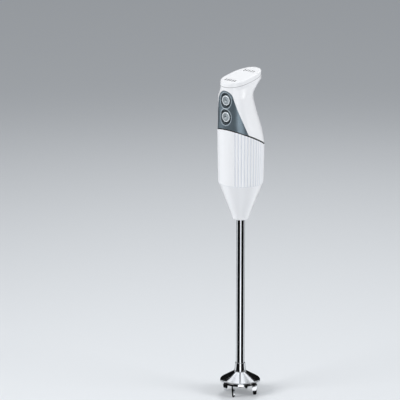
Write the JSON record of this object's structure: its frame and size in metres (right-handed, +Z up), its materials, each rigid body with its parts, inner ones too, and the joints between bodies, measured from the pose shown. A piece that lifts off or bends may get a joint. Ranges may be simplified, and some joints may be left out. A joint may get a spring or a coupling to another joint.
{
  "type": "immersion blender",
  "caption": "Long-shafted hand blender with a hooked white handle, grey button panel, fluted motor housing, chromed shaft tube and a footed bell guard round a bare tool spigot.",
  "frame": {"origin": "On the shaft axis, in the plane of the guard's feet.", "axes": "+Z runs up the shaft to the head, -Y is the front with the buttons, +Y the hooked rear of the head, X across."},
  "size_m": [0.0554, 0.056, 0.3945],
  "materials": {
    "white_body": "smooth white moulding",
    "panel_grey": "dark grey metallic",
    "button_grey": "grey metallic, satin",
    "seam_rubber": "matt black",
    "spring_steel": "bright drawn wire",
    "inner_plastic": "matt black moulding",
    "board": "green laminate",
    "steel": "plain turned steel",
    "copper_parts": "enamelled copper",
    "bush_bronze": "sintered bronze",
    "bracket_alloy": "die cast",
    "carbon": "pressed carbon",
    "chrome": "bright chromed"
  },
  "bodies": {
    "body": {"motor_housing": "white_body", "grip_shell": "white_body", "switch_panel": "panel_grey", "top_cap": "white_body", "seam_gasket": "seam_rubber", "low_button_spring": "spring_steel", "high_button_spring": "spring_steel", "switch_carrier": "inner_plastic", "low_speed_switch": "inner_plastic", "high_speed_switch": "inner_plastic", "carrier_screws": "steel", "control_board": "board", "cord_gland": "seam_rubber", "stator_core": "steel", "field_coils": "copper_parts", "carbon_brushes": "carbon", "brush_holders": "inner_plastic", "upper_bracket": "bracket_alloy", "lower_bracket": "bracket_alloy", "bracket_bolts": "steel", "upper_bearing": "steel", "lower_bearing": "steel", "shaft_tube": "chrome", "tube_nut": "steel", "tube_upper_bush": "bush_bronze", "tube_lower_bush": "bush_bronze", "shaft_seal": "seam_rubber", "blade_guard": "chrome"},
    "low_button": {"low_speed_button": "button_grey"},
    "high_button": {"high_speed_button": "button_grey"},
    "drive": {"motor_shaft": "steel", "armature_core": "steel", "armature_winding": "copper_parts", "commutator": "copper_parts", "cooling_fan": "inner_plastic", "shaft_coupling": "steel", "drive_shaft": "steel", "carrier_pin": "steel"}
  },
  "joints": [
    {"name": "low_button_press", "type": "slide", "parent": "body", "child": "low_button", "axis": [0, 1, 0], "range_m": [0, 0.002], "stiffness_N_per_m": 400, "springref_m": -0.001, "deforming": ["low_button_spring"]},
    {"name": "high_button_press", "type": "slide", "parent": "body", "child": "high_button", "axis": [0, 1, 0], "range_m": [0, 0.002], "stiffness_N_per_m": 400, "springref_m": -0.001, "deforming": ["high_button_spring"]},
    {"name": "drive_spin", "type": "hinge", "parent": "body", "child": "drive", "pos_m": [0, 0, 0.2], "axis": [0, 0, 1], "continuous": true}
  ]
}
